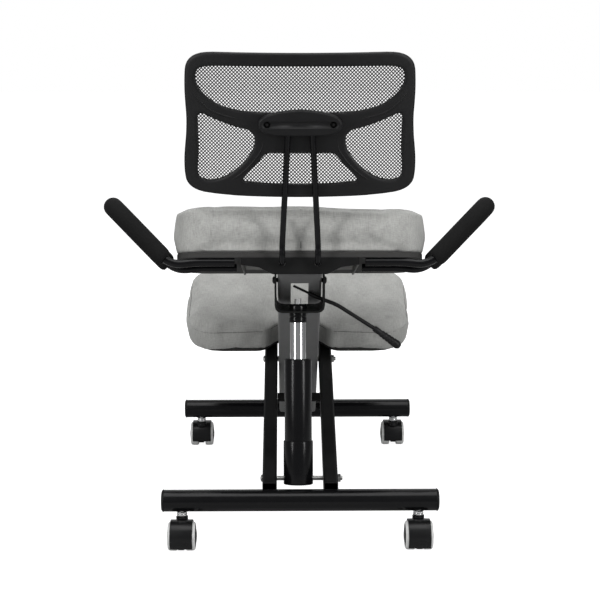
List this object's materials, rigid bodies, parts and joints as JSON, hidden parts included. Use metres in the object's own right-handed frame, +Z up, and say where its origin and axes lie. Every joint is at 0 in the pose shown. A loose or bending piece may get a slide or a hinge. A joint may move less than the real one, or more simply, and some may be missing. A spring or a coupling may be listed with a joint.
{
  "type": "kneeling chair",
  "caption": "Kneeling chair on casters with a tilting seat on a gas spring, a knee cushion, side loop handles and a net backrest.",
  "frame": {"origin": "on the floor, midway between the two crossbars, in the chair's middle plane", "axes": "+X to the sitter's right, +Y towards the knee cushion, +Z up"},
  "size_m": [0.6824, 0.6224, 0.8496],
  "materials": {
    "black_steel": "satin black powder coat",
    "chrome": "polished",
    "zinc": "plated",
    "black_plastic": "fine grain",
    "grey_tyre": "matte, soft tread",
    "foam": "closed-cell foam",
    "linen": "coarse linen weave",
    "plywood": "dark underlining",
    "net": "open net",
    "pin_plastic": "smooth"
  },
  "bodies": {
    "leg_frame": {"rear_crossbar": "black_steel", "rear_end_cap_left": "black_plastic", "rear_end_cap_right": "black_plastic", "leg_left": "black_steel", "leg_right": "black_steel", "leg_brace": "black_steel", "lower_axle_bolt": "zinc", "lower_axle_nut": "zinc", "pivot_bolt": "zinc", "pivot_nut": "zinc", "pivot_sleeve": "zinc", "knee_mount_plate": "black_steel", "knee_board": "plywood", "knee_cushion": "linen", "rear_left_caster_stem": "chrome", "rear_right_caster_stem": "chrome"},
    "seat_frame": {"front_crossbar": "black_steel", "front_end_cap_left": "black_plastic", "front_end_cap_right": "black_plastic", "main_beam": "black_steel", "seat_bracket": "black_steel", "seat_board": "plywood", "seat_cushion": "linen", "handle_tube_left": "black_steel", "handle_tube_right": "black_steel", "handle_foam_left": "foam", "handle_foam_right": "foam", "back_rod_left": "black_steel", "back_rod_right": "black_steel", "backrest_frame": "black_plastic", "backrest_net": "net", "backrest_cover": "black_plastic", "cover_screw_left": "zinc", "cover_screw_right": "zinc", "stirrup_bolt_left": "zinc", "stirrup_bolt_right": "zinc", "front_left_caster_stem": "chrome", "front_right_caster_stem": "chrome"},
    "gas_casing": {"gas_socket": "black_steel", "gas_casing": "black_steel", "casing_bush": "black_plastic", "piston_rod": "zinc"},
    "gas_rod": {"gas_cylinder": "chrome", "gas_taper": "black_steel", "stirrup": "black_steel"},
    "release_pin": {"release_pin": "pin_plastic"},
    "release_lever": {"release_lever": "black_steel", "lever_grip": "black_plastic"},
    "rear_left_caster": {"rear_left_caster_hood": "black_plastic"},
    "rear_left_wheel_left": {"rear_left_wheel_left": "grey_tyre"},
    "rear_left_wheel_right": {"rear_left_wheel_right": "grey_tyre"},
    "rear_right_caster": {"rear_right_caster_hood": "black_plastic"},
    "rear_right_wheel_left": {"rear_right_wheel_left": "grey_tyre"},
    "rear_right_wheel_right": {"rear_right_wheel_right": "grey_tyre"},
    "front_left_caster": {"front_left_caster_hood": "black_plastic"},
    "front_left_wheel_left": {"front_left_wheel_left": "grey_tyre"},
    "front_left_wheel_right": {"front_left_wheel_right": "grey_tyre"},
    "front_right_caster": {"front_right_caster_hood": "black_plastic"},
    "front_right_wheel_left": {"front_right_wheel_left": "grey_tyre"},
    "front_right_wheel_right": {"front_right_wheel_right": "grey_tyre"}
  },
  "joints": [
    {"name": "seat_tilt", "type": "hinge", "parent": "leg_frame", "child": "seat_frame", "pos_m": [0, 0.106, 0.239], "axis": [1, 0, 0], "range_deg": [-6.3, 8.5]},
    {"name": "gas_lower_pivot", "type": "hinge", "parent": "leg_frame", "child": "gas_casing", "pos_m": [-0.003, -0.228, 0.11], "axis": [1, 0, 0], "range_deg": [-3.4, 4.4]},
    {"name": "gas_slide", "type": "slide", "parent": "gas_casing", "child": "gas_rod", "axis": [0, 0.22, 0.9755], "range_m": [-0.05, 0.04]},
    {"name": "release_lever_pivot", "type": "hinge", "parent": "gas_rod", "child": "release_lever", "pos_m": [0.041, -0.162, 0.4186], "axis": [0, -1, 0], "range_deg": [0, 21], "stiffness_Nm_per_rad": 0.5, "springref_deg": -17.19},
    {"name": "release_pin_press", "type": "slide", "parent": "gas_rod", "child": "release_pin", "axis": [0, -0.22, -0.9755], "range_m": [0, 0.0035]},
    {"name": "rear_left_caster_swivel", "type": "hinge", "parent": "leg_frame", "child": "rear_left_caster", "pos_m": [-0.206, -0.27, 0.05], "axis": [0, 0, 1], "continuous": true},
    {"name": "rear_left_wheel_left_spin", "type": "hinge", "parent": "rear_left_caster", "child": "rear_left_wheel_left", "pos_m": [-0.206, -0.283, 0.025], "axis": [1, 0, 0], "continuous": true},
    {"name": "rear_left_wheel_right_spin", "type": "hinge", "parent": "rear_left_caster", "child": "rear_left_wheel_right", "pos_m": [-0.206, -0.283, 0.025], "axis": [1, 0, 0], "continuous": true},
    {"name": "rear_right_caster_swivel", "type": "hinge", "parent": "leg_frame", "child": "rear_right_caster", "pos_m": [0.206, -0.27, 0.05], "axis": [0, 0, 1], "continuous": true},
    {"name": "rear_right_wheel_left_spin", "type": "hinge", "parent": "rear_right_caster", "child": "rear_right_wheel_left", "pos_m": [0.206, -0.283, 0.025], "axis": [1, 0, 0], "continuous": true},
    {"name": "rear_right_wheel_right_spin", "type": "hinge", "parent": "rear_right_caster", "child": "rear_right_wheel_right", "pos_m": [0.206, -0.283, 0.025], "axis": [1, 0, 0], "continuous": true},
    {"name": "front_left_caster_swivel", "type": "hinge", "parent": "seat_frame", "child": "front_left_caster", "pos_m": [-0.206, 0.27, 0.05], "axis": [0, 0, 1], "continuous": true},
    {"name": "front_left_wheel_left_spin", "type": "hinge", "parent": "front_left_caster", "child": "front_left_wheel_left", "pos_m": [-0.206, 0.283, 0.025], "axis": [1, 0, 0], "continuous": true},
    {"name": "front_left_wheel_right_spin", "type": "hinge", "parent": "front_left_caster", "child": "front_left_wheel_right", "pos_m": [-0.206, 0.283, 0.025], "axis": [1, 0, 0], "continuous": true},
    {"name": "front_right_caster_swivel", "type": "hinge", "parent": "seat_frame", "child": "front_right_caster", "pos_m": [0.206, 0.27, 0.05], "axis": [0, 0, 1], "continuous": true},
    {"name": "front_right_wheel_left_spin", "type": "hinge", "parent": "front_right_caster", "child": "front_right_wheel_left", "pos_m": [0.206, 0.283, 0.025], "axis": [1, 0, 0], "continuous": true},
    {"name": "front_right_wheel_right_spin", "type": "hinge", "parent": "front_right_caster", "child": "front_right_wheel_right", "pos_m": [0.206, 0.283, 0.025], "axis": [1, 0, 0], "continuous": true}
  ],
  "couplings": [
    {"joint": "gas_lower_pivot", "follows": "seat_tilt", "ratio": 0.43},
    {"joint": "gas_slide", "follows": "seat_tilt", "m_per_rad": -0.2975},
    {"joint": "release_pin_press", "follows": "release_lever_pivot", "m_per_rad": 0.008185}
  ]
}
